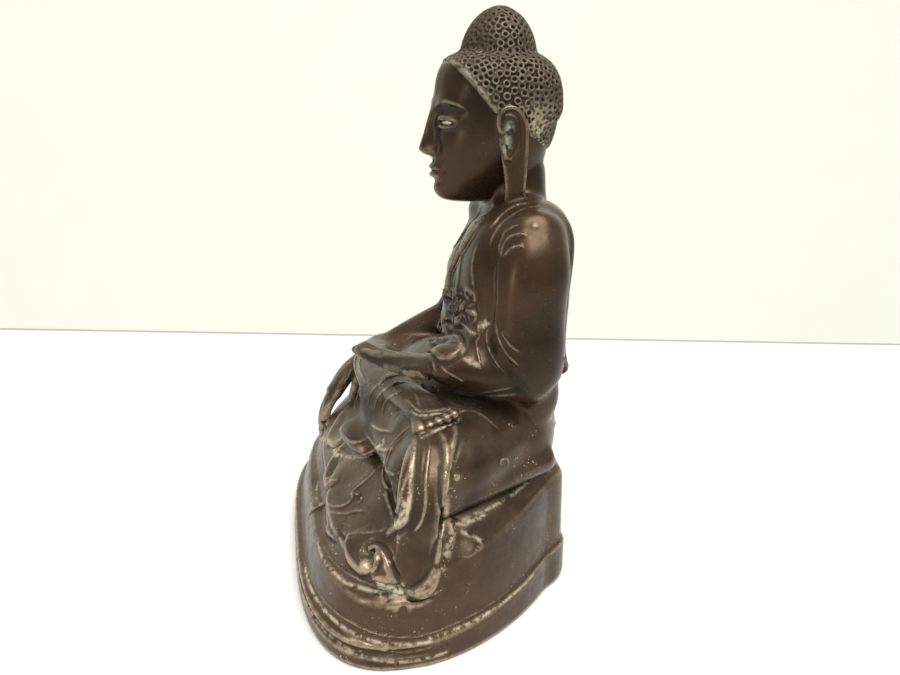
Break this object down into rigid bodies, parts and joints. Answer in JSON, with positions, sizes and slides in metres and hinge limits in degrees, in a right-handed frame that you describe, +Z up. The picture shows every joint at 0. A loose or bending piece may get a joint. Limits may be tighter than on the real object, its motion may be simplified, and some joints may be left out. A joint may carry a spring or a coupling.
{
  "type": "seated buddha statue",
  "caption": "Cast bronze seated Buddha in the earth-touching pose, one hand over the knee and one in the lap, made in one with a rounded stepped plinth.",
  "frame": {"origin": "centre of the plinth's underside", "axes": "+Z up, the figure faces -Y, its left side is +X"},
  "size_m": [0.212, 0.1519, 0.3],
  "materials": {
    "bronze": "dark brown satin patina with paler worn edges and grey-green deposits in the hollows",
    "shell": "pale polished shell"
  },
  "bodies": {
    "root": {"buddha_casting": "bronze", "left_eye_inlay": "shell", "right_eye_inlay": "shell"}
  },
  "joints": []
}
